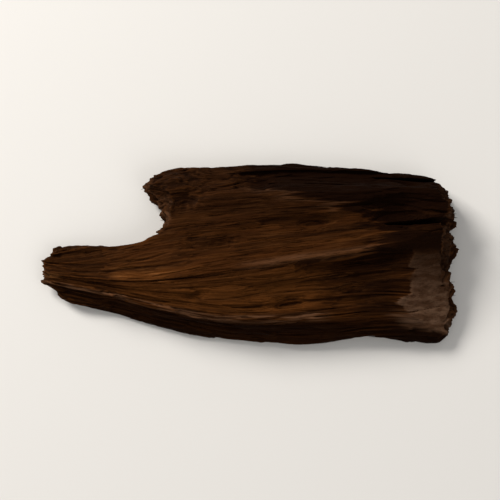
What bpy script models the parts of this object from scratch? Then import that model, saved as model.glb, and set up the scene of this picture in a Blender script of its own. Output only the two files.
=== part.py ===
"""An agarwood chip: resin-rich heartwood, split along the grain and chopped off at one end.

Metres, +Z up. X runs along the grain, from the thin torn tail (-X) to the chopped end (+X), and Y
across it, from the front rim (-Y) to the back rim (+Y). The chip lies on its split underside, and
the origin is the middle of its footprint.
"""

import math

import bmesh
import bpy
from mathutils import Vector, geometry, noise

# Driving dimensions
LENGTH = 0.0510
WIDTH = 0.0225
THICKNESS = 0.0071

# Five guide curves run the length of the chip. A station is its place along the length, its place
# across the width, both from 0 to 1, and its height above the resting face as a share of THICKNESS.
# Wood fibres run between the guides, so they lie close in the tail and fan out to the chopped end.
FOOT = (
    (0.00, 0.320, 0.20),
    (0.07, 0.231, 0.15),
    (0.17, 0.173, 0.12),
    (0.31, 0.089, 0.11),
    (0.48, 0.031, 0.12),
    (0.65, 0.000, 0.14),
    (0.83, 0.027, 0.17),
    (1.00, 0.013, 0.20),
)
RIM = (
    (0.00, 0.352, 0.27),
    (0.07, 0.322, 0.37),
    (0.17, 0.270, 0.47),
    (0.31, 0.184, 0.57),
    (0.48, 0.120, 0.62),
    (0.65, 0.142, 0.63),
    (0.83, 0.156, 0.60),
    (1.00, 0.150, 0.52),
)
RIDGE = (
    (0.00, 0.392, 0.31),
    (0.11, 0.352, 0.47),
    (0.25, 0.328, 0.68),
    (0.50, 0.388, 0.90),
    (0.79, 0.480, 0.98),
    (1.00, 0.545, 0.88),
)
CREST = (
    (0.00, 0.520, 0.29),
    (0.13, 0.620, 0.44),
    (0.27, 0.730, 0.64),
    (0.50, 0.780, 0.80),
    (0.78, 0.800, 0.84),
    (1.00, 0.790, 0.74),
)
BACK = (
    (0.00, 0.620, 0.24),
    (0.13, 0.800, 0.38),
    (0.27, 0.940, 0.46),
    (0.50, 1.020, 0.36),
    (0.74, 1.020, 0.30),
    (1.00, 0.960, 0.28),
)
# The share of the fan of fibres at which each guide lies, the guide, and how far the facet that
# ends at it is dished, as a share of THICKNESS.
GUIDES = (
    (0.00, FOOT, 0.0),
    (0.14, RIM, 0.0),
    (0.44, RIDGE, 0.02),
    (0.78, CREST, 0.07),
    (1.00, BACK, -0.02),
)

# The outline seen from above, as places along the length and across the width, anticlockwise.
OUTLINE = (
    (0.000, 0.390),  # torn tip of the tail
    (0.030, 0.290),
    (0.069, 0.231),
    (0.171, 0.168),
    (0.314, 0.086),
    (0.480, 0.030),
    (0.627, 0.000),
    (0.716, 0.024),
    (0.804, 0.050),
    (0.892, 0.028),
    (0.965, 0.035),  # front corner of the chopped end
    (0.990, 0.170),
    (0.986, 0.340),
    (0.994, 0.520),
    (1.000, 0.690),
    (0.984, 0.850),
    (0.930, 0.922),  # back corner of the chopped end
    (0.814, 0.952),
    (0.676, 0.990),
    (0.539, 1.000),
    (0.420, 0.975),
    (0.318, 0.962),
    (0.258, 0.918),  # shoulder above the bite
    (0.247, 0.835),
    (0.276, 0.740),
    (0.278, 0.640),
    (0.244, 0.568),
    (0.190, 0.538),  # foot of the bite, where the tail begins
    (0.118, 0.538),
    (0.050, 0.540),
    (0.008, 0.490),
)
OUTLINE_STEP = 0.0008
# It crosses the grain where its outward direction has more than the first of these in X, and does
# so fully past their sum.
CROSSING_FROM = 0.35
CROSSING_RANGE = 0.50
# There its fibres are torn to different lengths.
TORN_REACH = 0.00075
TORN_PITCH = 0.0008
# Elsewhere it only wavers.
WAVER = 0.00022
WAVER_RUN = 0.0035
# The wall under the outline: the height of each ring, and how far it is drawn in.
WALL = (
    (-0.0010, 0.00045),
    (0.0006, 0.0),
    (0.0014, 0.0),
    (0.0022, 0.00030),
    (0.0031, 0.00015),
    (0.0045, 0.00045),
    (0.0100, 0.00080),
)
# The rings are drawn in unevenly, and further where the wall crosses the grain and leans back.
RING_UNEVEN = 0.9
RING_RUN = 0.0022
TORN_LEAN = 2.2
# They rise and sink together along the wall.
RING_WAVER = 0.0007
RING_WAVER_RUN = 0.0055

# Ledges where the split jumped from one layer of fibres to the next: share of the fan, start and
# end along the length, and the drop on the side towards the foot as a share of THICKNESS. A
# drop below zero is on the side towards the back.
LEDGES = (
    (0.075, 0.14, 0.60, 0.07),
    (0.225, 0.20, 0.86, 0.06),
    (0.335, 0.47, 0.97, 0.06),
    (0.425, 0.60, 0.93, 0.13),
    (0.560, 0.33, 0.78, -0.045),
    (0.665, 0.30, 0.99, 0.030),
    (0.815, 0.38, 0.99, -0.060),
    (0.920, 0.45, 0.90, 0.090),
)
LEDGE_LIP = 0.008
LEDGE_FADE = 0.085
# A layer tore off short where its ledge starts, and thins out where the ledge ends.
TORN_START = 0.035
THIN_END = 0.12

# Gouged flutes: share of the fan, half breadth, start and end along the length, and depth share.
FLUTES = (
    (0.290, 0.050, 0.10, 0.70, 0.055),
    (0.600, 0.060, 0.34, 0.98, 0.060),
    (0.720, 0.045, 0.27, 0.62, 0.050),
    (0.870, 0.040, 0.50, 1.00, 0.060),
)

# Hollows: place along and across, half length and half breadth in metres, and depth share.
HOLLOWS = (
    (0.845, 0.690, 0.0052, 0.0028, 0.17),  # scoop near the chopped end
    (0.345, 0.755, 0.0026, 0.0013, 0.15),  # pit beside the bite
    (0.520, 0.850, 0.0030, 0.0012, 0.12),
    (0.655, 0.620, 0.0032, 0.0010, 0.10),
    (0.430, 0.520, 0.0026, 0.0009, 0.08),
    (0.590, 0.210, 0.0030, 0.0010, 0.12),
    (0.370, 0.250, 0.0024, 0.0009, 0.08),
    (0.740, 0.290, 0.0026, 0.0010, 0.10),
)
# A lump of knot wood on the shoulder, given in the same way.
KNOT = (0.325, 0.860, 0.0036, 0.0020, 0.13)

# Ribs of harder fibre all over the upper face, and finer ones among them.
RIB_HEIGHT = 0.00030
RIB_PITCH = 0.0013
RIB_RUN = 0.015
FINE_RIB_SHARE = 0.5
FINE_RIB_SCALE = 2.1

# The underside is a split face too. It bears on level lands, between shallow flutes and ledges
# that are given in the same way as those of the upper face.
UNDER_WAVE = 0.00090
UNDER_BEARING = 0.00008
UNDER_PITCH = 0.0034
UNDER_RUN = 0.022
UNDER_LEDGES = (
    (0.075, 0.30, 0.80, 0.06),
    (0.335, 0.10, 0.62, 0.11),
    (0.560, 0.42, 0.97, -0.09),
    (0.815, 0.35, 0.85, 0.08),
)
TAIL_LIFT = 0.0010
TAIL_LIFT_END = 0.26
CHOPPED_LIFT = 0.0005
CHOPPED_LIFT_START = 0.90
BACK_LIFT = 0.0009
BACK_LIFT_START = 0.84
THINNEST = 0.0006

# The blank before it is trimmed reaches past the outline by this much at each end, and over these
# shares of the fan. A row keeps this share of an even gap clear of the rows at guides and ledges.
BLANK_MARGIN = 0.0008
BLANK_FAN = (-0.10, 1.08)
COLUMNS = 60
ROWS = 26
ROW_CLEARANCE = 0.45

# Where in the noise each pattern is read, so that no two are alike.
RIB_LAYER = 0.5
UNDER_LAYER = 7.5
TORN_LAYER = 3.5
END_LAYER = 4.0
WAVER_LAYER = 11.0
RING_LAYER = 2.0

# Two strokes took off the right end: a point on each cut, in shares of the three dimensions, and
# the way that it faces.
CHOPS = (
    ("broad_chop", (0.877, 0.185, 0.580), (0.317, -0.281, 0.906)),
    ("end_chop", (0.985, 0.700, 0.50), (0.93, 0.06, 0.36)),
)
CHOP_BLOCK = 0.030

# Splits that have opened along the grain: share of the fan, mouth and point along the length, the
# gap at the mouth, and the height of the split's bottom as a share of THICKNESS.
SPLITS = (
    ("end_check", 0.595, 1.02, 0.80, 0.00065, 0.30),
    ("back_check", 0.885, 1.02, 0.76, 0.00060, -0.20),
)
SPLIT_STATIONS = 8

HEARTWOOD = (0.060, 0.026, 0.011, 1.0)


def smooth_step(value):
    """0 at 0, 1 at 1, level at both ends."""
    value = min(max(value, 0.0), 1.0)
    return value * value * (3 - 2 * value)


def bell(value):
    """1 at 0, falling smoothly to 0 at -1 and 1."""
    return smooth_step(1 - abs(value))


def along_curve(stations, along, item):
    """An item of the stations, read from a smooth curve through them."""
    if along <= stations[0][0]:
        return stations[0][item]
    if along >= stations[-1][0]:
        return stations[-1][item]
    last = next(i for i in range(1, len(stations)) if stations[i][0] >= along)

    def slope(i):
        before = stations[max(i - 1, 0)]
        after = stations[min(i + 1, len(stations) - 1)]
        return (after[item] - before[item]) / (after[0] - before[0])

    start, end = stations[last - 1], stations[last]
    run = end[0] - start[0]
    t = (along - start[0]) / run
    bend = (slope(last - 1) * run * t * (1 - t) ** 2) - (slope(last) * run * t * t * (1 - t))
    return start[item] + (end[item] - start[item]) * smooth_step(t) + bend


def plan(along, across):
    """X and Y of shares of the length and the width."""
    return (along - 0.5) * LENGTH, (across - 0.5) * WIDTH


def facet(fan):
    """The guide that ends the facet at a share of the fan, and how far across the facet that is."""
    last = next((i for i in range(1, len(GUIDES)) if GUIDES[i][0] >= fan), len(GUIDES) - 1)
    start, end = GUIDES[last - 1][0], GUIDES[last][0]
    return last, (fan - start) / (end - start)


def fibre_across(along, fan):
    """Where a fibre of the fan lies across the width. Outside the guides it keeps their pace."""
    last, share = facet(fan)
    low, high = (along_curve(GUIDES[i][1], along, 1) for i in (last - 1, last))
    return low + share * (high - low)


def guide_height(along, fan):
    """The height share of the facets that lie between the guides."""
    last, share = facet(fan)
    share = min(max(share, 0.0), 1.0)
    low, high = (along_curve(GUIDES[i][1], along, 2) for i in (last - 1, last))
    return low + share * (high - low) - GUIDES[last][2] * 4 * share * (1 - share)


def between(along, start, end):
    """1 between two places along the length: it rises to 1 at once and falls away slowly."""
    return smooth_step((along - start) / TORN_START) * smooth_step((end - along) / THIN_END)


def ledge_drop(along, fan, ledge):
    """How far the surface drops just below a ledge. It climbs back further down the facet."""
    place, start, end, drop = ledge
    below = place - fan if drop > 0 else fan - place
    if below < 0:
        return 0
    return abs(drop) * between(along, start, end) * math.exp(-below / LEDGE_FADE)


def flute_depth(along, fan, flute):
    place, half_breadth, start, end, depth = flute
    return depth * between(along, start, end) * bell((fan - place) / half_breadth)


def oval(x, y, hollow):
    """The depth share of an oval hollow, or the height share of an oval lump."""
    along, across, half_length, half_breadth, depth = hollow
    centre_x, centre_y = plan(along, across)
    distance = math.hypot((x - centre_x) / half_length, (y - centre_y) / half_breadth)
    return depth * bell(distance)


def rib(x, fan):
    """The height of the ribs of fibre, which run with the fan."""
    place = Vector((x / RIB_RUN, fan * WIDTH / RIB_PITCH, RIB_LAYER))
    return RIB_HEIGHT * (noise.noise(place) + FINE_RIB_SHARE * noise.noise(place * FINE_RIB_SCALE))


def underside(along, fan, x):
    """The height of the underside: level lands, flutes and ledges between them, and lifted edges."""
    wave = noise.noise(Vector((x / UNDER_RUN, fan * WIDTH / UNDER_PITCH, UNDER_LAYER)))
    lift = TAIL_LIFT * smooth_step(1 - along / TAIL_LIFT_END)
    lift += CHOPPED_LIFT * smooth_step((along - CHOPPED_LIFT_START) / (1 - CHOPPED_LIFT_START))
    lift += BACK_LIFT * smooth_step((fan - BACK_LIFT_START) / (1 - BACK_LIFT_START))
    lift += THICKNESS * sum(ledge_drop(along, fan, ledge) for ledge in UNDER_LEDGES)
    return max(0.0, UNDER_WAVE * wave - UNDER_BEARING + lift)


def upper_face(along, fan, x, y):
    """The height of the upper face, never closer to the underside than the thinnest edge."""
    share = guide_height(along, fan)
    share -= sum(ledge_drop(along, fan, ledge) for ledge in LEDGES)
    share -= sum(flute_depth(along, fan, flute) for flute in FLUTES)
    share -= sum(oval(x, y, hollow) for hollow in HOLLOWS)
    share += oval(x, y, KNOT)
    height = share * THICKNESS + rib(x, fan)
    return max(height, underside(along, fan, x) + THINNEST)


def fibre_rows():
    """The shares of the fan where the mesh has a row: at guides, beside ledges, and evenly between."""
    lips = [ledge[0] + side * LEDGE_LIP / 2 for ledge in LEDGES for side in (-1, 1)]
    fixed = sorted(lips + [guide[0] for guide in GUIDES[1:-1]])
    first, last = BLANK_FAN
    even = [first + (last - first) * i / ROWS for i in range(ROWS + 1)]
    clear = (last - first) / ROWS * ROW_CLEARANCE
    return sorted(fixed + [e for e in even if all(abs(e - f) > clear for f in fixed)])


def named(name, bm):
    """An object of this mesh, in the scene."""
    bmesh.ops.recalc_face_normals(bm, faces=bm.faces)
    mesh = bpy.data.meshes.new(name)
    bm.to_mesh(mesh)
    bm.free()
    made = bpy.data.objects.new(name, mesh)
    bpy.context.scene.collection.objects.link(made)
    return made


def split_blank():
    """The blank: a sheet of fibre rows made into a slab, with a split face above and below."""
    rows = fibre_rows()
    bm = bmesh.new()
    bmesh.ops.create_grid(bm, x_segments=COLUMNS, y_segments=len(rows) - 1, size=0.5)
    made = bmesh.ops.extrude_face_region(bm, geom=bm.faces[:])
    lower = {item for item in made["geom"] if isinstance(item, bmesh.types.BMVert)}
    for vert in bm.verts:
        x = vert.co.x * (LENGTH + 2 * BLANK_MARGIN)
        along = x / LENGTH + 0.5
        fan = rows[round((vert.co.y + 0.5) * (len(rows) - 1))]
        y = (fibre_across(along, fan) - 0.5) * WIDTH
        face = underside(along, fan, x) if vert in lower else upper_face(along, fan, x, y)
        vert.co = (x, y, face)
    return named("agarwood_chip", bm)


def outline_run():
    """The outline as evenly spaced points and their outward directions, before it is roughened."""
    corners = [Vector(plan(*corner)) for corner in OUTLINE]
    count = len(corners)
    headings = [(corners[(i + 1) % count] - corners[i - 1]).normalized() for i in range(count)]
    points = []
    for i, corner in enumerate(corners):
        after = corners[(i + 1) % count]
        reach = (after - corner).length / 3
        leave = corner + headings[i] * reach
        arrive = after - headings[(i + 1) % count] * reach
        pieces = max(2, round(3 * reach / OUTLINE_STEP))
        points += geometry.interpolate_bezier(corner, leave, arrive, after, pieces + 1)[:-1]
    ways = []
    for i, point in enumerate(points):
        run = points[(i + 1) % len(points)] - points[i - 1]
        ways.append(Vector((run.y, -run.x)).normalized())
    return points, ways


def crossing(way):
    """1 where the outline crosses the grain, 0 where it runs with it."""
    return smooth_step((abs(way.x) - CROSSING_FROM) / CROSSING_RANGE)


def roughened(point, way):
    """A point of the outline moved along the grain where it crosses it, and in or out elsewhere."""
    end = math.copysign(END_LAYER, way.x)
    torn = noise.noise(Vector((point.y / TORN_PITCH, TORN_LAYER, end)))
    waver = noise.noise(Vector((point.x / WAVER_RUN, point.y / WAVER_RUN, WAVER_LAYER)))
    moved = point + Vector((TORN_REACH * torn * crossing(way), 0))
    return moved + way * WAVER * waver * (1 - crossing(way))


def drawn_in(point, way, height, amount):
    """A corner of a ring of the wall, moved in from a point of the outline."""
    uneven = noise.noise(Vector((point.x, point.y, height)) / RING_RUN)
    waver = noise.noise(Vector((point.x, point.y, RING_LAYER)) / RING_WAVER_RUN)
    spot = point - way * amount * (1 + RING_UNEVEN * uneven) * (1 + TORN_LEAN * crossing(way))
    return spot.x, spot.y, height + RING_WAVER * waver


def fitted(points):
    """Points scaled and centred so that they span exactly the length and the width."""
    low = Vector((min(p.x for p in points), min(p.y for p in points)))
    high = Vector((max(p.x for p in points), max(p.y for p in points)))
    scale = Vector((LENGTH / (high.x - low.x), WIDTH / (high.y - low.y)))
    middle = (low + high) / 2
    return [(p - middle) * scale for p in points]


def prism(name, rings):
    """A closed block through rings of points, each ring with as many points as the next."""
    bm = bmesh.new()
    loops = [[bm.verts.new(point) for point in ring] for ring in rings]
    for low, high in zip(loops, loops[1:]):
        for i in range(len(low)):
            bm.faces.new((low[i - 1], low[i], high[i], high[i - 1]))
    bm.faces.new(loops[0])
    bm.faces.new(loops[-1])
    return named(name, bm)


def outline_cutter():
    """A block inside the outline, whose wall leans as the chip's edge does."""
    smooth_points, ways = outline_run()
    points = fitted([roughened(p, w) for p, w in zip(smooth_points, ways)])
    rings = [[drawn_in(p, w, height, amount) for p, w in zip(points, ways)] for height, amount in WALL]
    return prism("outline_cutter", rings)


def chop_cutter(name, place, facing):
    """A block with one face on the cut that a stroke made."""
    bm = bmesh.new()
    bmesh.ops.create_cube(bm, size=CHOP_BLOCK)
    bmesh.ops.translate(bm, verts=bm.verts, vec=(0, 0, CHOP_BLOCK / 2))
    turned = Vector(facing).to_track_quat("Z", "Y").to_matrix()
    bmesh.ops.rotate(bm, verts=bm.verts, matrix=turned)
    x, y = plan(place[0], place[1])
    bmesh.ops.translate(bm, verts=bm.verts, vec=(x, y, place[2] * THICKNESS))
    return named(name, bm)


def split_cutter(name, fan, mouth, point, gap, bottom):
    """A thin wedge along one fibre, as wide as the gap at its mouth and closed at its point."""
    near, far = [], []
    for i in range(SPLIT_STATIONS + 1):
        share = i / SPLIT_STATIONS
        along = mouth + (point - mouth) * share
        x, y = plan(along, fibre_across(along, fan))
        half = gap / 2 * math.sqrt(1 - share)
        near.append((x, y - half))
        if share < 1:
            far.append((x, y + half))
    outline = near + far[::-1]
    heights = (bottom * THICKNESS, 2 * THICKNESS)
    return prism(name, [[(x, y, height) for x, y in outline] for height in heights])


def guide(cutter):
    """Keeps a cutter in the scene as a guide only."""
    cutter.hide_render = True
    cutter.display_type = "WIRE"
    return cutter


def trim_to_outline(chip):
    trim = chip.modifiers.new("outline", "BOOLEAN")
    trim.operation = "INTERSECT"
    trim.object = guide(outline_cutter())


def take_off(chip, cutters):
    """Takes all the cutters off the chip in one step."""
    strokes = bpy.data.collections.new("strokes")
    for cutter in cutters:
        strokes.objects.link(guide(cutter))
    trim = chip.modifiers.new("strokes", "BOOLEAN")
    trim.operation = "DIFFERENCE"
    trim.operand_type = "COLLECTION"
    trim.collection = strokes


def heartwood():
    """Dark resinous wood with a dull wax-like gloss."""
    made = bpy.data.materials.new("heartwood")
    made.use_nodes = True
    shader = made.node_tree.nodes["Principled BSDF"]
    shader.inputs["Base Color"].default_value = HEARTWOOD
    shader.inputs["Roughness"].default_value = 0.55
    shader.inputs["Metallic"].default_value = 0.0
    return made


def main():
    for old in list(bpy.data.objects):
        bpy.data.objects.remove(old)
    chip = split_blank()
    trim_to_outline(chip)
    chops = [chop_cutter(*chop) for chop in CHOPS]
    take_off(chip, chops + [split_cutter(*split) for split in SPLITS])
    chip.data.materials.append(heartwood())


main()
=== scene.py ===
import math
import random

import bmesh
import bpy
import numpy as np
from mathutils import Matrix, Vector, noise
from mathutils.bvhtree import BVHTree


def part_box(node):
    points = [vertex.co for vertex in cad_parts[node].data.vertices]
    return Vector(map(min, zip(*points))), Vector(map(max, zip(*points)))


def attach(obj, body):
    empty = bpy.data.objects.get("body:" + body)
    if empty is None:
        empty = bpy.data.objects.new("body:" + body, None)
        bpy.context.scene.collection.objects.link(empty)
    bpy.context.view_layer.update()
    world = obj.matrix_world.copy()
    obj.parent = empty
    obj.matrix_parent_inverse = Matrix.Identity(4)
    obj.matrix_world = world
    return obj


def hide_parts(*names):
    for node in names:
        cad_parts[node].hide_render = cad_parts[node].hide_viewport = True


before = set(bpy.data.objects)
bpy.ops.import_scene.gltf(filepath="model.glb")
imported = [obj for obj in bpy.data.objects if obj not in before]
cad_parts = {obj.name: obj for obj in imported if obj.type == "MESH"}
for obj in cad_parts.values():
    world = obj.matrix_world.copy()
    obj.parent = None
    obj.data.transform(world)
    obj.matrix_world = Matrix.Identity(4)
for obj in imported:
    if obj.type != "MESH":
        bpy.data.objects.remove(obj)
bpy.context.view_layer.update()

# The looks of a chip of resinous heartwood. X runs along its grain, from the torn tail to the
# chopped end, and Y across it. The shapes are in metres, and patterns are worked out in millimetres.
MM = 0.001
CHIP = "agarwood_chip"
LOW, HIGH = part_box(CHIP)
LENGTH, WIDTH, THICKNESS = HIGH - LOW

# The way that the grain runs, seen from above: each curve's share of the fan of fibres, and its
# places along the length and across the width, as shares of both.
GRAIN_CURVES = (
    (0.00, ((0.00, 0.320), (0.07, 0.231), (0.17, 0.173), (0.31, 0.089), (0.48, 0.031), (0.65, 0.000),
            (0.83, 0.027), (1.00, 0.013))),
    (0.14, ((0.00, 0.352), (0.07, 0.322), (0.17, 0.270), (0.31, 0.184), (0.48, 0.120), (0.65, 0.142),
            (0.83, 0.156), (1.00, 0.150))),
    (0.44, ((0.00, 0.392), (0.11, 0.352), (0.25, 0.328), (0.50, 0.388), (0.79, 0.480), (1.00, 0.545))),
    (0.78, ((0.00, 0.520), (0.13, 0.620), (0.27, 0.730), (0.50, 0.780), (0.78, 0.800), (1.00, 0.790))),
    (1.00, ((0.00, 0.620), (0.13, 0.800), (0.27, 0.940), (0.50, 1.020), (0.74, 1.020), (1.00, 0.960))),
)
# The height of the ridge along the length, as a share of the thickness.
RIDGE_RISE = ((0.00, 0.31), (0.11, 0.47), (0.25, 0.68), (0.50, 0.90), (0.79, 0.98), (1.00, 0.88))
CURVE_SAMPLES = 120

# The broad stroke that took off the front corner of the right end: a point on its cut, in shares
# of the three dimensions, and the way that it faces.
CUT_PLACE = (0.877, 0.185, 0.580)
CUT_FACING = np.array(Vector((0.317, -0.281, 0.906)).normalized())

# The skin's faces are this wide across the grain, in millimetres, and longer along it, because the
# length is squeezed by this share while they are made.
CELL = 0.09
SQUEEZE = 0.40
WELD = 1e-6
# Once it has its relief, the skin is thinned out to this many triangles.
TRIANGLES = 190000

# A sine wave this high, read at angles with these weights, has digits that look drawn at random.
DRAW_HEIGHT = 43758.5453
DRAW_WEIGHTS = (12.9898, 78.233, 37.719)


def smooth_step(value):
    value = np.clip(value, 0.0, 1.0)
    return value * value * (3 - 2 * value)


def past(value, place, fade):
    """0 up to a place, and 1 from where its fade ends."""
    return smooth_step((value - place) / fade)


def short_of(value, place, fade):
    """1 as far as a fade short of a place, and 0 from there on."""
    return smooth_step((place - value) / fade)


def span(value, first, rise, last, fall):
    """1 from the first place to the last, with a rise and a fall inside them."""
    return past(value, first, rise) * short_of(value, last, fall)


def smooth_curve(stations):
    """Places along the length, and a smooth curve through the stations read at them."""
    places = np.linspace(0, 1, CURVE_SAMPLES + 1)
    along, value = np.array(stations).T
    slope = np.gradient(value, along)
    last = np.clip(np.searchsorted(along, places), 1, len(along) - 1)
    run = along[last] - along[last - 1]
    t = (places - along[last - 1]) / run
    bend = slope[last - 1] * run * t * (1 - t) ** 2 - slope[last] * run * t * t * (1 - t)
    return places, value[last - 1] + (value[last] - value[last - 1]) * smooth_step(t) + bend


def grain_places(points):
    """Where points lie in the wood, in millimetres: along the fibres, across them, and in depth."""
    along = (points[:, 0] - LOW.x) / LENGTH
    across = (points[:, 1] - LOW.y) / WIDTH
    fans = [fan for fan, _ in GRAIN_CURVES]
    curves = [np.interp(along, *smooth_curve(stations)) for _, stations in GRAIN_CURVES]
    fan = np.zeros(len(points))
    for i in range(1, len(fans)):
        share = (across - curves[i - 1]) / (curves[i] - curves[i - 1])
        reached = share >= 0 if i > 1 else np.full(len(points), True)
        fan = np.where(reached, fans[i - 1] + share * (fans[i] - fans[i - 1]), fan)
    depth = points[:, 2] / (THICKNESS * np.interp(along, *smooth_curve(RIDGE_RISE)))
    return np.column_stack((points[:, 0], fan * WIDTH, depth * THICKNESS)) / MM


def fibre_across(along, fan):
    """How far across the width a fibre of this share of the fan lies, at a share of the length."""
    fans = [share for share, _ in GRAIN_CURVES]
    across = [np.interp(along, *smooth_curve(stations)) for _, stations in GRAIN_CURVES]
    return np.interp(fan, fans, across)


def pattern(places, run, pitch, layer):
    """Noise from -1 to 1 whose streaks have this run along the grain and this pitch across it."""
    spots = places / (run, pitch, pitch) + (0, 0, layer)
    return np.array([noise.noise(spot) for spot in spots.tolist()])


def draw(*keys):
    """Fixed numbers from 0 to 1, one for each set of whole numbers, as if drawn at random."""
    angle = sum(key * weight for key, weight in zip(keys, DRAW_WEIGHTS))
    wave = DRAW_HEIGHT * np.sin(angle)
    return wave - np.floor(wave)


def off_cut(points):
    """How far points lie in front of the broad stroke's cut, in millimetres."""
    x, y, z = CUT_PLACE
    place = np.array([LOW.x + x * LENGTH, LOW.y + y * WIDTH, z * THICKNESS])
    return (points - place) @ CUT_FACING / MM


def coordinates(mesh):
    flat = np.empty(len(mesh.vertices) * 3, np.float32)
    mesh.vertices.foreach_get("co", flat)
    return flat.reshape(-1, 3).astype(float)


def move_vertices(mesh, points):
    mesh.vertices.foreach_set("co", points.astype(np.float32).ravel())
    mesh.update()


def normals(mesh):
    flat = np.empty(len(mesh.vertices) * 3, np.float32)
    mesh.vertex_normals.foreach_get("vector", flat)
    return flat.reshape(-1, 3).astype(float)


def links(mesh):
    """The pairs of vertices that edges join."""
    flat = np.empty(len(mesh.edges) * 2, np.int32)
    mesh.edges.foreach_get("vertices", flat)
    return flat.reshape(-1, 2)


def keep(mesh, name, values):
    """Stores one value, or one place, for each vertex."""
    kind, item = ("FLOAT_VECTOR", "vector") if values.ndim == 2 else ("FLOAT", "value")
    stored = mesh.attributes.new(name, kind, "POINT").data
    stored.foreach_set(item, values.astype(np.float32).ravel())


def evened(values, edges, times):
    """Rows of values at vertices, averaged this many times with those of their neighbours."""
    first, last = edges.T
    count = np.bincount(edges.ravel(), minlength=len(values))
    for _ in range(times):
        columns = []
        for column in values.T:
            total = np.bincount(first, column[last], len(values))
            total += np.bincount(last, column[first], len(values))
            columns.append(0.5 * column + 0.5 * total / count)
        values = np.column_stack(columns)
    return values


def evened_numbers(values, edges, times):
    return evened(values[:, None], edges, times)[:, 0]


def modified(mesh, kind, settings):
    """The mesh with a modifier applied."""
    item = bpy.data.objects.new("rough_chip", mesh)
    bpy.context.scene.collection.objects.link(item)
    modifier = item.modifiers.new("shape", kind)
    for name, value in settings.items():
        setattr(modifier, name, value)
    graph = bpy.context.evaluated_depsgraph_get()
    made = bpy.data.meshes.new_from_object(item.evaluated_get(graph))
    bpy.data.objects.remove(item)
    return made


def triangle_count(mesh):
    return sum(len(face.vertices) - 2 for face in mesh.polygons)


def chip_blank():
    """A copy of the solid with its triangles joined up."""
    bm = bmesh.new()
    bm.from_mesh(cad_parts[CHIP].data)
    bmesh.ops.remove_doubles(bm, verts=bm.verts, dist=WELD)
    mesh = bpy.data.meshes.new("chip")
    bm.to_mesh(mesh)
    bm.free()
    return mesh


def skinned(mesh):
    """An even fine skin over the mesh, whose faces follow the grain."""
    squeezed = Matrix.Diagonal((SQUEEZE / MM, 1 / MM, 1 / MM, 1))
    mesh.transform(squeezed)
    fine = modified(mesh, "REMESH", {"mode": "VOXEL", "voxel_size": CELL})
    fine.transform(squeezed.inverted())
    return fine


def steps(value, rise):
    """Stairs through a value, each climbed within this share of its tread."""
    whole = np.floor(value)
    return whole + smooth_step((value - whole) / rise)


def ridged(value):
    """1 along the zero lines of a pattern, falling away on both sides."""
    return (1 - np.abs(value)) ** 2


# How unevenly wood splits into laths. As shares of their pitch: how far the long edges stray, and
# over what breadth, how sharp the ends are and how far off the middle, and how ragged.
EDGE_STRAY = 0.55
STRAY_BREADTH = 2.5
END_POINT = 2.4
POINT_SHIFT = 0.3
END_RAGS = 0.9
# The rags' own run and pitch in millimetres. As shares of a lath's run: the shortest lath, and how
# much longer others are. As a count of laths: how far one row may start behind another.
RAG_RUN, RAG_PITCH = 2.2, 0.22
SHORTEST = 0.55
LONGER = 0.9
ROW_START = 7


def laths(places, run, pitch, lean, layer):
    """Where places lie among split laths: each lath's own number, the share of its length that is
    passed there, and how far the nearest long edge is, in millimetres."""
    across = places[:, 1] * math.cos(lean) + places[:, 2] * math.sin(lean)
    rows = across / pitch + EDGE_STRAY * pattern(places, run, STRAY_BREADTH * pitch, layer)
    row = np.floor(rows)
    share = rows - row
    reach = run * (SHORTEST + LONGER * draw(row, layer))
    off_middle = share - 0.5 - POINT_SHIFT * (draw(row, layer + 1) - 0.5)
    point = END_POINT * pitch * np.abs(off_middle)
    ragged = END_RAGS * pitch * pattern(places, RAG_RUN, RAG_PITCH, layer + 2)
    cells = (places[:, 0] + point + ragged) / reach + ROW_START * draw(row, layer + 3)
    cell = np.floor(cells)
    return draw(row, cell, layer + 4), cells - cell, np.minimum(share, 1 - share) * pitch


# Where the wood broke down a step towards the front: twice along the ridge, along the front rim,
# and on the face behind the ridge. Each has its place across the fan of fibres, its fall, how far it
# takes to recover, and where along the length it starts and ends, in millimetres.
SCARPS = (
    (9.75, 0.18, 3.0, 2.0, 19.0),
    (9.3, 0.42, 3.4, 8.5, 19.5),
    (2.8, 0.26, 2.2, -25.0, 9.0),
    (15.6, 0.12, 2.0, -2.0, 14.0),
)
# A scarp's line wanders and is ragged: how far, and the run and pitch of both.
SCARP_WANDER = (0.55, 6.0, 9.0)
SCARP_RAGS = (0.13, 2.0, 0.24)
# It takes this long to reach its fall and to lose it, and this breadth to fall.
SCARP_START, SCARP_END = 3.0, 4.0
SCARP_BREADTH = 0.16


def scarp(places, line, fall, recovery, first, last):
    """How far the surface falls down a ragged step along a fibre, in millimetres."""
    wander = 0.0
    for i, (size, run, pitch) in enumerate((SCARP_WANDER, SCARP_RAGS)):
        wander = wander + size * pattern(places, run, pitch, line + i)
    below = line + wander - places[:, 1]
    stretch = span(places[:, 0], first, SCARP_START, last, SCARP_END)
    return fall * stretch * smooth_step(below / SCARP_BREADTH) * smooth_step(1 - below / recovery)


# The relief of the split skin, in millimetres, starts from a level this deep in the solid.
SUNK = 0.10
# A pattern is given as the run of its streaks along the grain, their pitch across it, and the layer
# of noise that it is read from. The fibres sway sideways, and ribs stand up by the height that
# comes first.
SWAY_SIZE, SWAY = 0.30, (7.0, 3.5, 40.0)
RIBS = (
    (0.07, 11.0, 0.95, 3.0),
    (0.04, 7.0, 0.42, 5.0),
)
# Thin layers end in small steps: the height of one, how many there are as the pattern rises by
# one, the share of a tread that a step takes, and how much its fringe counts.
LAYERS = (12.0, 1.9, 8.0)
LAYER_HEIGHT = 0.10
LAYER_COUNT = 2.3
LAYER_RISE = 0.12
FRINGE_SHARE, FRINGE = 0.24, (2.4, 0.30, 11.0)
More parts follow.
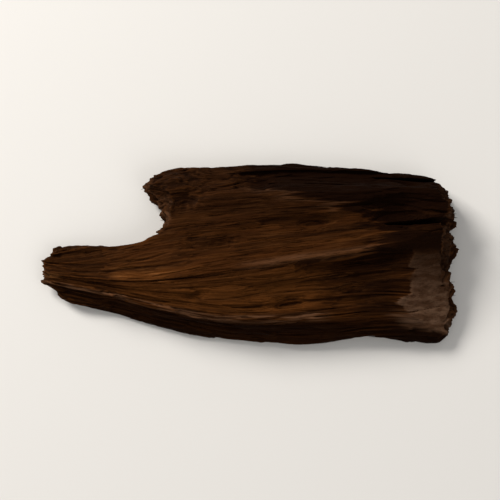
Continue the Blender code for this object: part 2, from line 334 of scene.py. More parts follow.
# The laths that the wood split into have how far their edges lean, in radians, before the layer of
# noise. They stand this high over each other, with cracks this deep and half this wide between them.
BROAD_LATHS, BROAD_HEIGHT = (17.0, 2.3, 0.6, 50.0), 0.26
BROAD_CRACK_DEPTH, BROAD_CRACK = 0.42, 0.13
NARROW_LATHS, NARROW_HEIGHT = (7.5, 0.86, 0.9, 70.0), 0.17
NARROW_CRACK_DEPTH, NARROW_CRACK = 0.10, 0.10
FINE_LATHS, FINE_HEIGHT = (3.4, 0.36, 0.4, 90.0), 0.07
# Broad cracks are open where this pattern is above zero, and fully so past one part in this many.
# In sound wood they are shut by this share.
OPENINGS, OPEN_WITHIN = (9.0, 2.0, 61.0), 4
SOUND_SHUT = 0.8
# Narrow laths with a number past this have sprung up at one end, this high.
SPRUNG, SPRUNG_FADE = 0.84, 0.02
SPRUNG_HEIGHT = 0.26
# Single fibres, and furrows where this pattern passes a level.
FIBRES, FIBRE_HEIGHT = (3.5, 0.24, 17.0), 0.02
FURROWS, FURROW_DEPTH = (4.0, 0.34, 23.0), 0.07
FURROW_FROM, FURROW_FADE = 0.30, 0.14
# Sound wood by the tail, and the two faces of the upper side: where each starts, how far it takes
# to rise, where it ends and how far it takes to fall, along the fibres or across them. The faces
# split off cleaner, by these shares.
SOUND_ALONG = (-20.0, 3.0, 4.0, 3.0)
SOUND_ACROSS = (7.0, 1.0, 12.0, 1.0)
BACK_FACE_ALONG = (-14.0, 5.0, 16.0, 6.0)
BACK_FACE_ACROSS = (9.8, 1.5, 18.5, 3.0)
FRONT_FACE_ACROSS = (3.6, 1.0, 9.2, 1.0)
BACK_FACE_CLEANER, FRONT_FACE_CLEANER = 0.68, 0.35


def split_relief(places):
    """The relief of split wood, in millimetres, and a number that tells its laths apart."""
    along, across, _ = places.T
    relief = -SUNK
    for height, *ribs in RIBS:
        relief = relief + height * ridged(pattern(places, *ribs))
    fringe = pattern(places, *FRINGE)
    layers = LAYER_COUNT * pattern(places, *LAYERS) + FRINGE_SHARE * fringe
    relief += LAYER_HEIGHT * steps(layers, LAYER_RISE)

    number, _, edge = laths(places, *BROAD_LATHS)
    relief += BROAD_HEIGHT * (number - 0.5)
    opened = smooth_step(OPEN_WITHIN * pattern(places, *OPENINGS))
    sound = span(across, *SOUND_ACROSS) * span(along, *SOUND_ALONG)
    crack = BROAD_CRACK_DEPTH * opened * (1 - SOUND_SHUT * sound)
    relief -= crack * smooth_step(1 - edge / BROAD_CRACK)

    tread, passed, edge = laths(places, *NARROW_LATHS)
    sprung = SPRUNG_HEIGHT * past(tread, SPRUNG, SPRUNG_FADE) * passed ** 2
    relief += NARROW_HEIGHT * (tread - 0.5) + sprung
    relief -= NARROW_CRACK_DEPTH * smooth_step(1 - edge / NARROW_CRACK)
    number, _, _ = laths(places, *FINE_LATHS)
    relief += FINE_HEIGHT * (number - 0.5)
    relief += FIBRE_HEIGHT * pattern(places, *FIBRES)

    back_face = span(across, *BACK_FACE_ACROSS) * span(along, *BACK_FACE_ALONG)
    front_face = span(across, *FRONT_FACE_ACROSS)
    relief *= 1 - BACK_FACE_CLEANER * back_face - FRONT_FACE_CLEANER * front_face
    relief -= sum(scarp(places, *numbers) for numbers in SCARPS)
    relief -= FURROW_DEPTH * past(pattern(places, *FURROWS), FURROW_FROM, FURROW_FADE)
    return relief, np.mod(tread + 0.4 * number, 1.0)


# The sheets, bundles and strands that a torn end shows, as laths that are longer than the chip. Each
# kind breaks over this length, in millimetres, with gaps this deep and half this wide between them.
SHEETS, SHEET_REACH = (60.0, 1.50, 1.15, 110.0), 0.90
SHEET_GAP_DEPTH, SHEET_GAP = 0.22, 0.13
BUNDLES, BUNDLE_REACH = (60.0, 0.72, -0.25, 120.0), 0.60
BUNDLE_GAP_DEPTH, BUNDLE_GAP = 0.09, 0.11
STRANDS_APART, STRAND_REACH = (60.0, 0.38, 0.80, 130.0), 0.22
# Tufts and single fibres in them, as patterns.
TUFTS, TUFT_REACH = (3.0, 1.1, 31.0), 0.30
FIBRE_ENDS, FIBRE_END_REACH = (9.0, 0.34, 35.0), 0.22


def torn_reach(places):
    """How far bundles of fibre reach out of a torn end, in millimetres, and a number that tells them
    apart. Layers split from each other break at different lengths, and bundles within them too."""
    sheet, _, gap = laths(places, *SHEETS)
    reach = SHEET_REACH * (sheet - 0.5) - SHEET_GAP_DEPTH * smooth_step(1 - gap / SHEET_GAP)
    bundle, _, gap = laths(places, *BUNDLES)
    reach += BUNDLE_REACH * (bundle - 0.5) - BUNDLE_GAP_DEPTH * smooth_step(1 - gap / BUNDLE_GAP)
    strand, _, _ = laths(places, *STRANDS_APART)
    reach += STRAND_REACH * (strand - 0.5) + TUFT_REACH * pattern(places, *TUFTS)
    reach += FIBRE_END_REACH * pattern(places, *FIBRE_ENDS)
    return reach, np.mod(bundle + strand, 1.0)


# The blade's marks on the facet: fibres that it lifted, its long nicks, and its chatter, whose waves
# lie across the grain. Each has its height or depth, in millimetres, and its pattern.
LIFTED_HEIGHT, LIFTED_FIBRES = 0.008, (6.0, 0.30, 17.0)
NICK_DEPTH, NICKS = 0.018, (30.0, 0.55, 19.0)
CHATTER_HEIGHT, CHATTER = 0.010, (1.6, 6.0, 21.0)


def facet_marks(points, places):
    """What the blade left on the facet, in millimetres."""
    marks = LIFTED_HEIGHT * pattern(places, *LIFTED_FIBRES)
    marks = marks - NICK_DEPTH * ridged(pattern(places, *NICKS))
    return marks + CHATTER_HEIGHT * pattern(points / MM, *CHATTER)


# The bumps that the skin has from its making are evened out this often.
SKIN_EVENED = 2
# Skin about this near to the cut, in millimetres, that faces this much of its way is the facet.
CUT_REACH = 0.15
CUT_ALIGNED, CUT_ALIGNED_FADE = 0.88, 0.08
# Hollows of the split wood break up the facet's rim and fade inside it, where the stroke took off
# half this depth, in millimetres, over a band as wide as this many evenings make it.
CUT_DEPTH = 0.55
RIM_EVENED = 24
# An end is torn where it faces this much along the grain. On the right, its bundles reach out this
# share as far.
TORN_FROM, TORN_FADE = 0.45, 0.35
RIGHT_END = 0.90
# Once it is rough, the skin from this far in front of the cut, in millimetres, that faces this much
# of its way has the chopped finish.
CUT_SHOWN, CUT_SHOWN_FADE = -0.09, 0.05
CUT_FACED, CUT_FACED_FADE = 0.70, 0.15
# The skin is raised or hollow against one that is evened this often, over this range of heights.
RAISED_EVENED = 10
RAISED_RANGE = 0.16


def roughen(mesh):
    """Moves the skin to the relief of split wood, and keeps what its finish reads as attributes."""
    edges = links(mesh)
    points = evened(coordinates(mesh), edges, SKIN_EVENED)
    move_vertices(mesh, points)
    outward = normals(mesh)
    places = grain_places(points)
    places[:, 1] += SWAY_SIZE * pattern(places, *SWAY)

    facet = smooth_step(1.5 - 2 * np.abs(off_cut(points)) / CUT_REACH)
    facet *= past(outward @ CUT_FACING, CUT_ALIGNED, CUT_ALIGNED_FADE)
    taken_off = CUT_DEPTH * (evened_numbers(facet, edges, RIM_EVENED) - 0.5)
    torn = past(np.abs(outward[:, 0]), TORN_FROM, TORN_FADE) * (1 - facet)

    relief, tread = split_relief(places)
    relief = evened_numbers(relief, edges, 1)
    chopped = np.minimum(taken_off + relief, 0.0) + facet_marks(points, places)
    relief = facet * chopped + (1 - facet) * relief * (1 - torn)

    reach, bundle = torn_reach(places)
    end = np.where(outward[:, 0] > 0, RIGHT_END, 1.0)
    broken = evened_numbers(torn * end * reach, edges, 1)

    # Nothing stands proud of the cut, or under the floor.
    moved = points + outward * (relief * MM)[:, None]
    moved[:, 0] += np.sign(outward[:, 0]) * broken * MM
    proud = np.maximum(off_cut(moved), 0.0)
    moved -= CUT_FACING * (proud * MM)[:, None]
    moved[:, 2] = np.maximum(moved[:, 2], 0.0)
    move_vertices(mesh, moved)

    bulge = np.einsum("ij,ij->i", moved - evened(moved, edges, RAISED_EVENED), outward) / MM
    cut = past(off_cut(moved), CUT_SHOWN, CUT_SHOWN_FADE)
    cut *= past(normals(mesh) @ CUT_FACING, CUT_FACED, CUT_FACED_FADE)
    keep(mesh, "grain", places)
    keep(mesh, "cut", cut)
    keep(mesh, "torn", torn)
    keep(mesh, "raised", smooth_step(0.5 + bulge / RAISED_RANGE))
    keep(mesh, "tread", tread + torn * (bundle - tread))


# A mix node's sockets for colours: the share of the second, both colours, and the result.
SHARE, FIRST, SECOND, RESULT = 0, 6, 7, 2


class Shade:
    """A socket of a material's nodes, with the maths that the finishes use."""

    def __init__(self, tree, socket=None):
        self.tree = tree
        self.socket = socket

    def feed(self, socket, value):
        if isinstance(value, Shade):
            self.tree.links.new(value.socket, socket)
        else:
            socket.default_value = value

    def node(self, kind, settings, inputs, output=0):
        """Adds a node with its settings, feeds its sockets, and returns one of its outputs."""
        made = self.tree.nodes.new(kind)
        for name, value in settings.items():
            setattr(made, name, value)
        for name, value in inputs.items():
            self.feed(made.inputs[name], value)
        return Shade(self.tree, made.outputs[output])

    def maths(self, operation, first, second):
        return self.node("ShaderNodeMath", {"operation": operation}, {0: first, 1: second})

    def __add__(self, other):
        return self.maths("ADD", self, other)

    def __radd__(self, other):
        return self.maths("ADD", other, self)

    def __sub__(self, other):
        return self.maths("SUBTRACT", self, other)

    def __rsub__(self, other):
        return self.maths("SUBTRACT", other, self)

    def __mul__(self, other):
        return self.maths("MULTIPLY", self, other)

    def __rmul__(self, other):
        return self.maths("MULTIPLY", other, self)

    def between(self, low, high):
        """0 below the low value, 1 above the high one, and a smooth rise between them."""
        settings = {"interpolation_type": "SMOOTHSTEP"}
        inputs = {"Value": self, "From Min": low, "From Max": high}
        return self.node("ShaderNodeMapRange", settings, inputs)

    def past(self, place, fade):
        """0 up to a place, and 1 from where its fade ends."""
        return (self - place).between(0.0, fade)

    def short_of(self, place, fade):
        """1 as far as a fade short of a place, and 0 from there on."""
        return (place - self).between(0.0, fade)

    def within(self, first, last, fade):
        """1 from the first place to the last, fading away over this much inside both."""
        return self.past(first, fade) * self.short_of(last, fade)

    def parts(self):
        """The three numbers of a vector."""
        split = self.node("ShaderNodeSeparateXYZ", {}, {0: self})
        return [Shade(self.tree, socket) for socket in split.socket.node.outputs]

    def attribute(self, name, output="Fac"):
        return self.node("ShaderNodeAttribute", {"attribute_name": name}, {}, output)

    def mixed(self, first, second, share):
        """A colour between two colours."""
        settings = {"data_type": "RGBA"}
        inputs = {SHARE: share, FIRST: first, SECOND: second}
        return self.node("ShaderNodeMix", settings, inputs, RESULT)

    def darkened(self, colour, share):
        settings = {"data_type": "RGBA", "blend_type": "MULTIPLY"}
        grey = self.node("ShaderNodeCombineColor", {}, {0: share, 1: share, 2: share})
        inputs = {SHARE: 1.0, FIRST: colour, SECOND: grey}
        return self.node("ShaderNodeMix", settings, inputs, RESULT)

    def streaky(self, run, pitch, layer, detail=2.0):
        """Noise from 0 to 1 at a place in the wood, in streaks with this run and pitch."""
        inputs = {"Vector": self, "Scale": (1 / run, 1 / pitch, 1 / pitch), "Location": (0, 0, layer)}
        spread = self.node("ShaderNodeMapping", {}, inputs)
        inputs = {"Vector": spread, "Scale": 1.0, "Detail": detail}
        return self.node("ShaderNodeTexNoise", {}, inputs)


# Colours of the wood, from the deepest resin to bare fibre, and of the chopped face, where its
# wood grew early and late in the year. The resin colour also lays painted shade, the amber, fibre
# and worn colours also lay painted highlights, and the colour for the back is painted shade.
RESIN_AND_SHADE = (0.0044, 0.0015, 0.0007, 1)
UMBER = (0.0118, 0.0038, 0.0011, 1)
BROWN = (0.034, 0.0104, 0.0024, 1)
BACK_SHADE = (0.0135, 0.0048, 0.0018, 1)
AMBER_AND_HIGHLIGHT = (0.108, 0.0355, 0.0074, 1)
FIBRE_AND_HIGHLIGHT = (0.190, 0.080, 0.026, 1)
WORN_AND_HIGHLIGHT = (0.128, 0.061, 0.031, 1)
CHOPPED = (0.125, 0.069, 0.041, 1)
CHOPPED_LATE = (0.070, 0.034, 0.018, 1)
SPECULAR_LEVEL = 0.030
SPECULAR_TINT = (1.0, 0.50, 0.25, 1)

# Streaks of the finish: their run along the fibres and pitch across them, in millimetres, their
# layer of noise and its detail, and the noise at which they start and are full.
BANDS = (18.0, 2.4, 0.0, 2.0, 0.36, 0.64)
WARM_STREAKS = (11.0, 0.60, 7.0, 2.0, 0.46, 0.70)
THREADS = (6.0, 0.17, 13.0, 3.0, 0.50, 0.66)
# These two break up painted highlights, along the crest and along the rim.
CREST_HIGHLIGHT_STREAKS = (4.0, 0.5, 51.0, 2.0, 0.35, 0.60)
RIM_HIGHLIGHT_STREAKS = (5.0, 0.35, 17.0, 2.0, 0.38, 0.60)
RESIN_STREAKS = (22.0, 0.75, 21.0, 3.0, 0.54, 0.64)
PORES = (2.6, 0.13, 29.0, 2.0, 0.56, 0.66)
VESSELS = (40.0, 0.30, 53.0, 2.0, 0.54, 0.64)
PATCHES = (5.0, 2.6, 47.0, 2.0, 0.45, 0.65)
EARLY_WOOD = (12.0, 0.50, 41.0, 3.0, 0.36, 0.62)
CHOPPED_LINES = (9.0, 0.22, 43.0, 2.0, 0.50, 0.68)
# Noise that is read as it is: its run, pitch and layer.
DRIFT = (9.0, 2.0, 3.0)
TONGUES = (16.0, 0.50, 57.0)
FINE_BUMPS = (2.6, 0.13, 33.0)
FINEST_BUMPS = (1.2, 0.065, 37.0)
BUMP_HEIGHT = 0.00006
BUMP_STRENGTH = 0.9

# Stretches of the chip, in millimetres: their first and last place along the fibres and how far
# they fade inside both, and then the same across the fibres.
# The first four stretches are painted light: the front face is brightened, and highlights are painted
# at the tail's root, along the crest and on the rim by the end.
FRONT_FACE_LIGHT = ((-17.5, 10.0, 4.0), (3.2, 9.4, 1.4))
TAIL_HIGHLIGHT = ((-17.5, -8.5, 2.5), (8.6, 11.4, 1.0))
CREST_HIGHLIGHT = ((-3.0, 17.5, 5.0), (9.2, 10.8, 0.7))
RIGHT_RIM = ((15.5, 21.0, 2.0), (2.2, 3.6, 0.5))
LOW_RIGHT = ((11.5, 18.5, 2.5), (2.2, 7.6, 1.2))


class Wood:
    """What the finish reads at each place of the chip, and the streaks that its layers share."""

    def __init__(self, shade):
        self.shade = shade
        self.grain = shade.attribute("grain", "Vector")
        self.along, self.across, self.depth = self.grain.parts()
        self.cut = shade.attribute("cut")
        self.torn = shade.attribute("torn")
        self.raised = shade.attribute("raised")
        self.tread = shade.attribute("tread")
        self.drift = 5.0 * self.grain.streaky(*DRIFT)
        self.back = self.across.past(12.0, 7.0)
        self.warm = self.streaks(*WARM_STREAKS)
        self.pores = self.streaks(*PORES)
        self.resin = self.streaks(*RESIN_STREAKS)

    def streaks(self, run, pitch, layer, detail, low, high):
        return self.grain.streaky(run, pitch, layer, detail).between(low, high)

    def stretch(self, along, across):
        return self.along.within(*along) * self.across.within(*across)


def plain_wood(wood):
    """Bands of darker and lighter wood, with a tone of its own for each lath."""
    mixed = wood.shade.mixed
    colour = mixed(UMBER, BROWN, 0.16 + 0.62 * wood.streaks(*BANDS))
    colour = wood.shade.darkened(colour, 0.84 + 0.34 * wood.tread)

    # Painted shade darkens it towards the back rim. It is duller low on the front face by the chopped
    # end, and in the tail.
    colour = mixed(colour, BACK_SHADE, 0.82 * wood.back)
    front = wood.across.within(3.4, 8.4, 1.4) * (wood.along + wood.drift).past(9.0, 4.0)
    colour = mixed(colour, UMBER, 0.62 * front)
    return mixed(colour, UMBER, 0.67 * wood.along.short_of(-14.0, 5.0))


def warm_wood_and_highlights(wood, colour):
    """Warm fibres in streaks, and a pale torn tip on the tail. Painted light brightens the face in
    front of the ridge, and painted highlights lie at the root of the tail and on the ridge's crest."""
    mixed = wood.shade.mixed
    colour = mixed(colour, AMBER_AND_HIGHLIGHT, 0.24 * wood.warm * (1 - 0.7 * wood.back))
    # Painted light brightens the face in front of the ridge.
    colour = mixed(colour, AMBER_AND_HIGHLIGHT, 0.42 * wood.stretch(*FRONT_FACE_LIGHT))
    tip = wood.along.short_of(-22.5, 1.5) * wood.across.within(5.5, 10.5, 1.0)
    colour = mixed(colour, FIBRE_AND_HIGHLIGHT, 0.30 * tip)
    threads = wood.streaks(*THREADS)
    # A painted highlight at the root of the tail.
    tail_highlight = wood.stretch(*TAIL_HIGHLIGHT)
    colour = mixed(colour, AMBER_AND_HIGHLIGHT, tail_highlight * (0.45 + 0.55 * threads))
    colour = mixed(colour, FIBRE_AND_HIGHLIGHT, threads * (0.08 + 0.32 * tail_highlight))
    # A painted highlight along the ridge's crest.
    crest_highlight = wood.stretch(*CREST_HIGHLIGHT) * (0.45 + 0.55 * wood.streaks(*CREST_HIGHLIGHT_STREAKS))
    return mixed(colour, WORN_AND_HIGHLIGHT, 0.34 * crest_highlight)


def rim_highlight(wood, colour):
    """A painted highlight lies pale along the front rim's edge, but for a stretch short of the chopped
    end.
    """
    # Painted highlight along the rim.
    rim = wood.across.within(2.2, 3.7, 0.45) * wood.along.short_of(10.5, 3.0)
    rim = rim + wood.stretch(*RIGHT_RIM)
    return wood.shade.mixed(colour, WORN_AND_HIGHLIGHT, 0.72 * (rim * wood.streaks(*RIM_HIGHLIGHT_STREAKS)))


def resin_streaks(wood, colour):
    """Resin runs along the fibres, less of it over the upper face, and fills the pores."""
    clear = wood.across.within(4.0, 18.0, 2.0) * wood.along.short_of(15.0, 4.0)
    colour = wood.shade.mixed(colour, RESIN_AND_SHADE, wood.resin * (0.62 - 0.34 * clear))
    return wood.shade.mixed(colour, RESIN_AND_SHADE, 0.38 * wood.pores)


def broken_wood(wood, colour):
    """Torn ends show bare fibre with dark vessels. Hollows everywhere are dark with resin and painted
    shade, and crowns warm with a painted highlight.
    """
    mixed = wood.shade.mixed
    bare = mixed(UMBER, WORN_AND_HIGHLIGHT, 0.08 + 0.50 * wood.tread)
    bare = mixed(bare, RESIN_AND_SHADE, 0.45 * wood.streaks(*VESSELS))
    colour = mixed(colour, bare, 0.75 * wood.torn)
    # Painted shade, in the resin colour, darkens the hollows.
    hollow_shade = (1 - wood.raised).between(0.55, 0.90)
    colour = mixed(colour, RESIN_AND_SHADE, 0.60 * hollow_shade)
    # A painted highlight warms the crowns.
    crown_highlight = wood.raised.between(0.60, 1.0)
    return mixed(colour, AMBER_AND_HIGHLIGHT, crown_highlight * (0.26 - 0.12 * wood.back) * (1 - 0.3 * wood.torn))


def resin_and_painted_shade(wood, colour):
    """Resin colour used as painted shade on the front flank and as a painted shadow at the foot of the
    ridge, darker wood low on the front face on the right, and a right end dark with resin and painted
    shadow, which reaches further left along the back rim."""
    mixed = wood.shade.mixed
    along, across, torn = wood.along, wood.across, wood.torn
    # Painted shade on the front flank.
    flank_darkness = 0.64 - 0.25 * along.short_of(-11.0, 6.0) + 0.24 * along.past(15.0, 4.0)
    flank_shade = across.short_of(2.7, 0.6) * flank_darkness
    colour = mixed(colour, RESIN_AND_SHADE, flank_shade * (1 - 0.6 * torn))
    # Painted shadow under the ridge's ledge.
    ledge_shadow = across.within(6.9, 9.35, 0.8) * along.past(6.0, 9.0)
    colour = mixed(colour, RESIN_AND_SHADE, 0.64 * ledge_shadow)
    colour = mixed(colour, RESIN_AND_SHADE, 0.62 * wood.stretch(*LOW_RIGHT))

    # The dark end, partly resin and partly a painted shadow, starts in tongues along the fibres,
    #     behind a paler lip. Low on the back wall it lets the warm streaks through.
    tongues = 14.0 * wood.grain.streaky(*TONGUES) - 7.0
    # Along the back rim the painted shadow reaches further left.
    reach = along + wood.drift + tongues + 14.5 * across.past(14.5, 5.0)
    lip = reach.within(13.6, 16.8, 1.4) * across.within(14.6, 19.0, 1.2)
    colour = mixed(colour, WORN_AND_HIGHLIGHT, 0.14 * lip)
    end = reach.past(15.7, 2.2) * across.past(8.3, 1.2)
    end = end * (0.93 - 0.17 * wood.streaks(*PATCHES) * across.short_of(16.0, 2.0))
    end = end * (1 - 0.80 * wood.depth.short_of(3.0, 1.3) * wood.warm)
    return mixed(colour, RESIN_AND_SHADE, end * (1 - 0.7 * torn))


def chopped_wood(wood, colour):
    """The chopped face and the corner below it are dull and pale, and dim towards the ridge."""
    mixed = wood.shade.mixed
    chopped = mixed(CHOPPED_LATE, CHOPPED, wood.streaks(*EARLY_WOOD))
    lines = wood.streaks(*CHOPPED_LINES)
    chopped = mixed(chopped, UMBER, 0.26 * lines + 0.20 * wood.pores + 0.20 * wood.resin)
    chopped = mixed(chopped, UMBER, 0.72 * wood.across.past(3.5, 4.5))
    face = wood.cut * wood.across.short_of(9.6, 1.6)
    corner = wood.along.past(17.0, 2.5) * wood.across.short_of(3.4, 0.8)
    low_edge = (wood.across + 0.12 * wood.along).past(3.6, 0.6)
    pale = low_edge * (0.94 * face + 0.70 * corner * (1 - face) * (1 - wood.torn))
    return mixed(colour, chopped, pale)


def heartwood():
    """Dark wood in streaks of resin and painted shade, with painted highlights on raised fibres and a
    duller chopped face.
    """
    made = bpy.data.materials.new("heartwood")
    made.use_nodes = True
    shader = made.node_tree.nodes["Principled BSDF"]
    shade = Shade(made.node_tree)
    wood = Wood(shade)
    colour = plain_wood(wood)
    for layer in (warm_wood_and_highlights, rim_highlight, resin_streaks, broken_wood, resin_and_painted_shade, chopped_wood):
        colour = layer(wood, colour)
    shade.feed(shader.inputs["Base Color"], colour)
    roughness = 0.76 - 0.14 * wood.resin - 0.06 * wood.warm + 0.12 * wood.torn
    shade.feed(shader.inputs["Roughness"], roughness)
    bumps = wood.grain.streaky(*FINE_BUMPS) + 0.7 * wood.grain.streaky(*FINEST_BUMPS)
    height = bumps - 0.6 * wood.pores
    inputs = {"Height": height, "Distance": BUMP_HEIGHT, "Strength": BUMP_STRENGTH}
    shade.feed(shader.inputs["Normal"], shade.node("ShaderNodeBump", {}, inputs))
    shader.inputs["Specular IOR Level"].default_value = SPECULAR_LEVEL
    shader.inputs["Specular Tint"].default_value = SPECULAR_TINT
    return made


def put_in_scene(name, mesh, material):
    """A finished piece of the chip: it rides with the chip and takes its finish."""
    for polygon in mesh.polygons:
        polygon.use_smooth = True
    mesh.materials.append(material)
    piece = bpy.data.objects.new(name, mesh)
    bpy.context.scene.collection.objects.link(piece)
    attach(piece, "root")
    return piece


def make_chip():
    mesh = skinned(chip_blank())
    roughen(mesh)
    mesh = modified(mesh, "DECIMATE", {"ratio": TRIANGLES / triangle_count(mesh)})
    mesh.name = "split_chip"
    piece = put_in_scene("split_chip", mesh, heartwood())
    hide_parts(CHIP)
    return mesh


# The slivers: how many there are, the blank's sides and cuts, and the ranges of their length, half
# width, half depth and lift at the tip, in millimetres.
SPLINTERS = (80, 6, 9, (3.0, 10.0), (0.14, 0.36), (0.06, 0.11), (0.02, 0.16))
STRANDS = (420, 4, 6, (1.2, 6.0), (0.030, 0.070), (0.020, 0.040), (0.00, 0.14))
END_FIBRES = (150, 4, 4, (0.25, 1.2), (0.025, 0.085), (0.020, 0.055), (0.0, 0.16))
SLIVER_SEED = 11
# A sliver's thickness varies between these shares. It keeps these shares of it at its root and tip,
# and thins out by this power of the way.
UNEVEN = (0.80, 1.10)
ROOT_SHARE = 0.55
TIP_SHARE = 0.10
TAPER_POWER = 2.2
# It lifts off by this power of the way, and its root is sunk by its half depth times this.
LIFT_POWER = 2.5
ROOT_SUNK = 1.4
# Its raised fibres take this much of the crowns' warm painted highlight.
SLIVER_RAISED = 0.75
# Places are looked for from this far outside the chip, along lines that pass points in its box down
# to this height, from straight above and from up to this many degrees to either side. A sliver is
# left out where the skin faces further along the grain than this.
OUTSIDE = 30 * MM
LOWEST_AIM = 0.4 * MM
STEEPEST = 75
FACING_ALONG = 0.4
# A sliver is let down onto the skin from this height, by no more than this.
HOVER = 1.5 * MM
LET_DOWN = 3 * MM
# No sliver spans a deeper drop than this, reaches further out of the solid's box, runs lower than
# this, or comes closer to the facet, in millimetres.
BRIDGED = 0.22 * MM
PROUD = 0.2 * MM
LOWEST = 0.25 * MM
CLEAR_OF_CUT = 0.25
# Nothing of a sliver is closer to the floor.
OFF_FLOOR = 0.02 * MM
# An end fibre starts where the skin faces this much along the grain, no closer to the facet than
# this, in millimetres, and no lower. On the right, it starts past this place along the length.
END_FACING = 0.35
END_CLEAR_OF_CUT = 0.15
END_LOWEST = 0.5 * MM
RIGHT_END_FROM = 20 * MM
# Its length is cut by a random share to this power. This share of it is sunk, and its tip curls
# sideways and upwards by shares of its lift.
END_LENGTH_POWER = 0.6
END_SUNK = 0.45
CURL_SIDEWAYS = (-1, 1)
CURL_UPWARDS = (-0.6, 1)
# The way of the fibres is read over this share of the length, before and after a place.
HEADING_STEP = 0.01


def sliver_blank(sides, cuts):
    """A round rod along X from 0 to 1, with a radius of 1, and rings of vertices all along it."""
    bm = bmesh.new()
    laid = Matrix.Translation((0.5, 0, 0)) @ Matrix.Rotation(math.radians(90), 4, "Y")
    bmesh.ops.create_cone(
        bm, cap_ends=True, cap_tris=False, segments=sides, radius1=1, radius2=1, depth=1, matrix=laid
    )
    for i in range(1, cuts):
        whole = bm.verts[:] + bm.edges[:] + bm.faces[:]
        bmesh.ops.bisect_plane(bm, geom=whole, plane_co=(i / cuts, 0, 0), plane_no=(1, 0, 0))
    mesh = bpy.data.meshes.new("sliver_blank")
    bm.to_mesh(mesh)
    bm.free()
    return mesh


def fibre_heading(place):
    """The way that the fibres run through a place."""
    along = (place.x - LOW.x) / LENGTH
    _, fan, _ = grain_places(np.array([place]))[0]
    share = fan * MM / WIDTH
    rise = fibre_across(along + HEADING_STEP, share) - fibre_across(along - HEADING_STEP, share)
    return Vector((2 * HEADING_STEP * LENGTH, rise * WIDTH, 0)).normalized()


def walk(surface, place, outward, heading, reach, cuts):
    """Places on the surface at even steps from a place, or nothing where it ends on the way."""
    stations = []
    for i in range(cuts + 1):
        above = place + heading * (reach * i / cuts) + outward * HOVER
        hit = surface.ray_cast(above, -outward, LET_DOWN)[0]
        if hit is None or (stations and abs((hit - stations[-1]).dot(outward)) > BRIDGED):
            return None
        stations.append(hit)
    return stations


def bend(bm, blank, stations, outward, half_width, half_depth, tread):
    """Adds a sliver: the blank bent along its stations, blunt at the root and thin at its tip."""
    cuts = len(stations) - 1
    first = len(bm.verts)
    bm.from_mesh(blank)
    bm.verts.ensure_lookup_table()
    layer = bm.verts.layers.float["tread"]
    uneven = [random.uniform(*UNEVEN) for _ in stations]
    for vert in bm.verts[first:]:
        i = round(vert.co.x * cuts)
        heading = (stations[min(i + 1, cuts)] - stations[max(i - 1, 0)]).normalized()
        side = outward.cross(heading).normalized()
        thinned = 1 - (1 - TIP_SHARE) * (i / cuts) ** TAPER_POWER
        taper = thinned * uneven[i] * (ROOT_SHARE if i == 0 else 1.0)
        offset = side * (vert.co.y * half_width * taper) + outward * (vert.co.z * half_depth * taper)
        vert.co = stations[i] + offset
        vert[layer] = tread


def seen_from(direction, surface):
    """A random place on the surface, as a ray in this direction meets it."""
    start = Vector(
        (
            random.uniform(LOW.x, HIGH.x),
            random.uniform(LOW.y, HIGH.y),
            random.uniform(LOWEST_AIM, HIGH.z),
        )
    )
    start -= direction * (OUTSIDE + start.dot(direction))
    hit, facing, _, _ = surface.ray_cast(start, direction, 3 * OUTSIDE)
    return hit, facing


def within_box(place):
    """Whether a sliver may reach this place: close to the solid's box, and clear of the floor."""
    inside = all(LOW[i] - PROUD < place[i] < HIGH[i] + PROUD for i in range(3))
    return inside and place.z > LOWEST


def on_facet(place, margin):
    return off_cut(np.array([place]))[0] > -margin


def sliver_mesh():
    """An empty mesh for slivers, which keeps a tone for each."""
    bm = bmesh.new()
    bm.verts.layers.float.new("tread")
    return bm


def finish_slivers(bm, name, material):
    for vert in bm.verts:
        vert.co.z = max(vert.co.z, OFF_FLOOR)
    mesh = bpy.data.meshes.new(name)
    bm.to_mesh(mesh)
    bm.free()
    keep(mesh, "grain", grain_places(coordinates(mesh)))
    keep(mesh, "cut", np.zeros(len(mesh.vertices)))
    keep(mesh, "torn", np.zeros(len(mesh.vertices)))
    keep(mesh, "raised", np.full(len(mesh.vertices), SLIVER_RAISED))
    put_in_scene(name, mesh, material)


def lay_slivers(surface, kind, name, material):
    """Slivers that lie along the grain all over the chip, each lifting off towards its tip."""
    count, sides, cuts, *ranges = kind
    blank = sliver_blank(sides, cuts)
    bm = sliver_mesh()
    made = 0
    while made < count:
        angle = math.radians(random.uniform(-STEEPEST, STEEPEST))
        direction = Vector((0, -math.sin(angle), -math.cos(angle)))
        place, facing = seen_from(direction, surface)
        reach, half_width, half_depth, lift = (random.uniform(*limits) * MM for limits in ranges)
        tread = random.random()
        if place is None or abs(facing.x) > FACING_ALONG or on_facet(place, CLEAR_OF_CUT):
            continue
        heading = fibre_heading(place) * random.choice((-1, 1))
        heading = (heading - facing * heading.dot(facing)).normalized()
        stations = walk(surface, place, facing, heading, reach, cuts)
        if stations is None or on_facet(stations[-1], CLEAR_OF_CUT):
            continue
        for i, station in enumerate(stations):
            share = i / cuts
            off = lift * share ** LIFT_POWER - ROOT_SUNK * half_depth * (1 - share) ** 2
            stations[i] = station + facing * off
        if not all(within_box(station) for station in stations):
            continue
        bend(bm, blank, stations, facing, half_width, half_depth, tread)
        made += 1
    finish_slivers(bm, name, material)


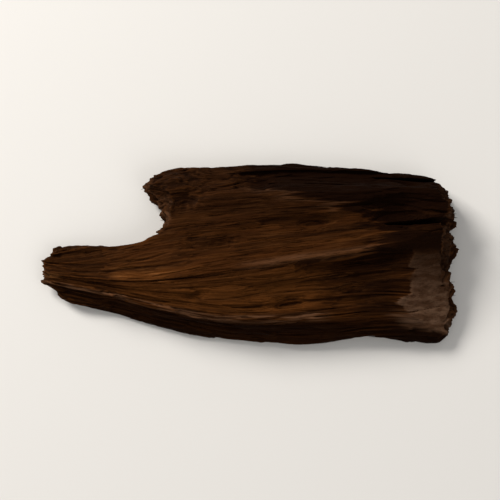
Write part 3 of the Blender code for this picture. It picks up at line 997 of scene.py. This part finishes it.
def lay_end_fibres(surface, name, material):
    """Short fibres that stand out of the broken ends, along the grain."""
    count, sides, cuts, *ranges = END_FIBRES
    blank = sliver_blank(sides, cuts)
    bm = sliver_mesh()
    up = Vector((0, 0, 1))
    made = 0
    while made < count:
        way = random.choice((-1, 1))
        place, facing = seen_from(Vector((-way, 0, 0)), surface)
        reach, half_width, half_depth, lift = (random.uniform(*limits) * MM for limits in ranges)
        reach *= random.random() ** END_LENGTH_POWER
        tread = random.random()
        if place is None or facing.x * way < END_FACING or on_facet(place, END_CLEAR_OF_CUT):
            continue
        if place.z < END_LOWEST or (way > 0 and place.x < RIGHT_END_FROM):
            continue
        heading = fibre_heading(place) * way
        root = place - heading * (END_SUNK * reach)
        curl = Vector((0, random.uniform(*CURL_SIDEWAYS), random.uniform(*CURL_UPWARDS))) * lift
        stations = []
        for i in range(cuts + 1):
            stations.append(root + heading * (reach * i / cuts) + curl * (i / cuts) ** 2)
        if not all(within_box(station) for station in stations):
            continue
        bend(bm, blank, stations, up, half_width, half_depth, tread)
        made += 1
    finish_slivers(bm, name, material)


def make_slivers(chip):
    """All the splinters and fibres that stand off the chip's skin."""
    bm = bmesh.new()
    bm.from_mesh(chip)
    surface = BVHTree.FromBMesh(bm)
    bm.free()
    random.seed(SLIVER_SEED)
    material = chip.materials[0]
    lay_slivers(surface, SPLINTERS, "raised_splinters", material)
    lay_slivers(surface, STRANDS, "torn_strands", material)
    lay_end_fibres(surface, "end_fibres", material)


FLOOR_HALF = 1.0
FLOOR_COLOUR = (0.70, 0.69, 0.67, 1)
FLOOR_ROUGHNESS = 0.9


def floor():
    bm = bmesh.new()
    bmesh.ops.create_grid(bm, x_segments=1, y_segments=1, size=FLOOR_HALF)
    mesh = bpy.data.meshes.new("floor")
    bm.to_mesh(mesh)
    bm.free()
    made = bpy.data.materials.new("pale_floor")
    made.use_nodes = True
    shader = made.node_tree.nodes["Principled BSDF"]
    shader.inputs["Base Color"].default_value = FLOOR_COLOUR
    shader.inputs["Roughness"].default_value = FLOOR_ROUGHNESS
    mesh.materials.append(made)
    piece = bpy.data.objects.new("floor", mesh)
    bpy.context.scene.collection.objects.link(piece)


def aimed(item, place, target):
    item.location = place
    item.rotation_mode = "QUATERNION"
    item.rotation_quaternion = (Vector(target) - Vector(place)).to_track_quat("-Z", "Y")


# Each light's place and size, in metres, its power in watts, and its colour.
KEY_LIGHT = ((-0.29, 0.24, 0.25), (0.20, 0.16), 2.75, (1.0, 0.96, 0.91))
FILL_LIGHT = ((0.30, -0.30, 0.35), (0.40, 0.40), 0.7, (1.0, 0.985, 0.965))
SKY_COLOUR = (1.0, 0.98, 0.96, 1)
SKY_STRENGTH = 0.35


def softbox(name, place, size, power, colour):
    light = bpy.data.lights.new(name, "AREA")
    light.shape = "RECTANGLE"
    light.size, light.size_y = size
    light.energy = power
    light.color = colour
    made = bpy.data.objects.new(name, light)
    bpy.context.scene.collection.objects.link(made)
    aimed(made, place, (0, 0, 0))


def studio():
    world = bpy.data.worlds.new("studio")
    world.use_nodes = True
    sky = world.node_tree.nodes["Background"]
    sky.inputs["Color"].default_value = SKY_COLOUR
    sky.inputs["Strength"].default_value = SKY_STRENGTH
    bpy.context.scene.world = world
    bpy.context.scene.view_settings.view_transform = "Standard"
    softbox("key", *KEY_LIGHT)
    softbox("fill", *FILL_LIGHT)


# The camera looks down at the chip from the front, this many degrees up. Its lens is in
# millimetres, and its picture is this wide at the chip, in metres.
CAMERA_ELEVATION = 79.0
CAMERA_LENS = 90.0
FRAME_WIDTH = 0.0605
CLIP_START = 0.005


def camera():
    data = bpy.data.cameras.new("camera")
    data.lens = CAMERA_LENS
    made = bpy.data.objects.new("camera", data)
    bpy.context.scene.collection.objects.link(made)
    bpy.context.scene.camera = made
    distance = FRAME_WIDTH * CAMERA_LENS / data.sensor_width
    angle = math.radians(CAMERA_ELEVATION)
    target = Vector((0, 0, THICKNESS / 2))
    aimed(made, target + distance * Vector((0, -math.cos(angle), math.sin(angle))), target)
    data.clip_start = CLIP_START


make_slivers(make_chip())
floor()
studio()
camera()
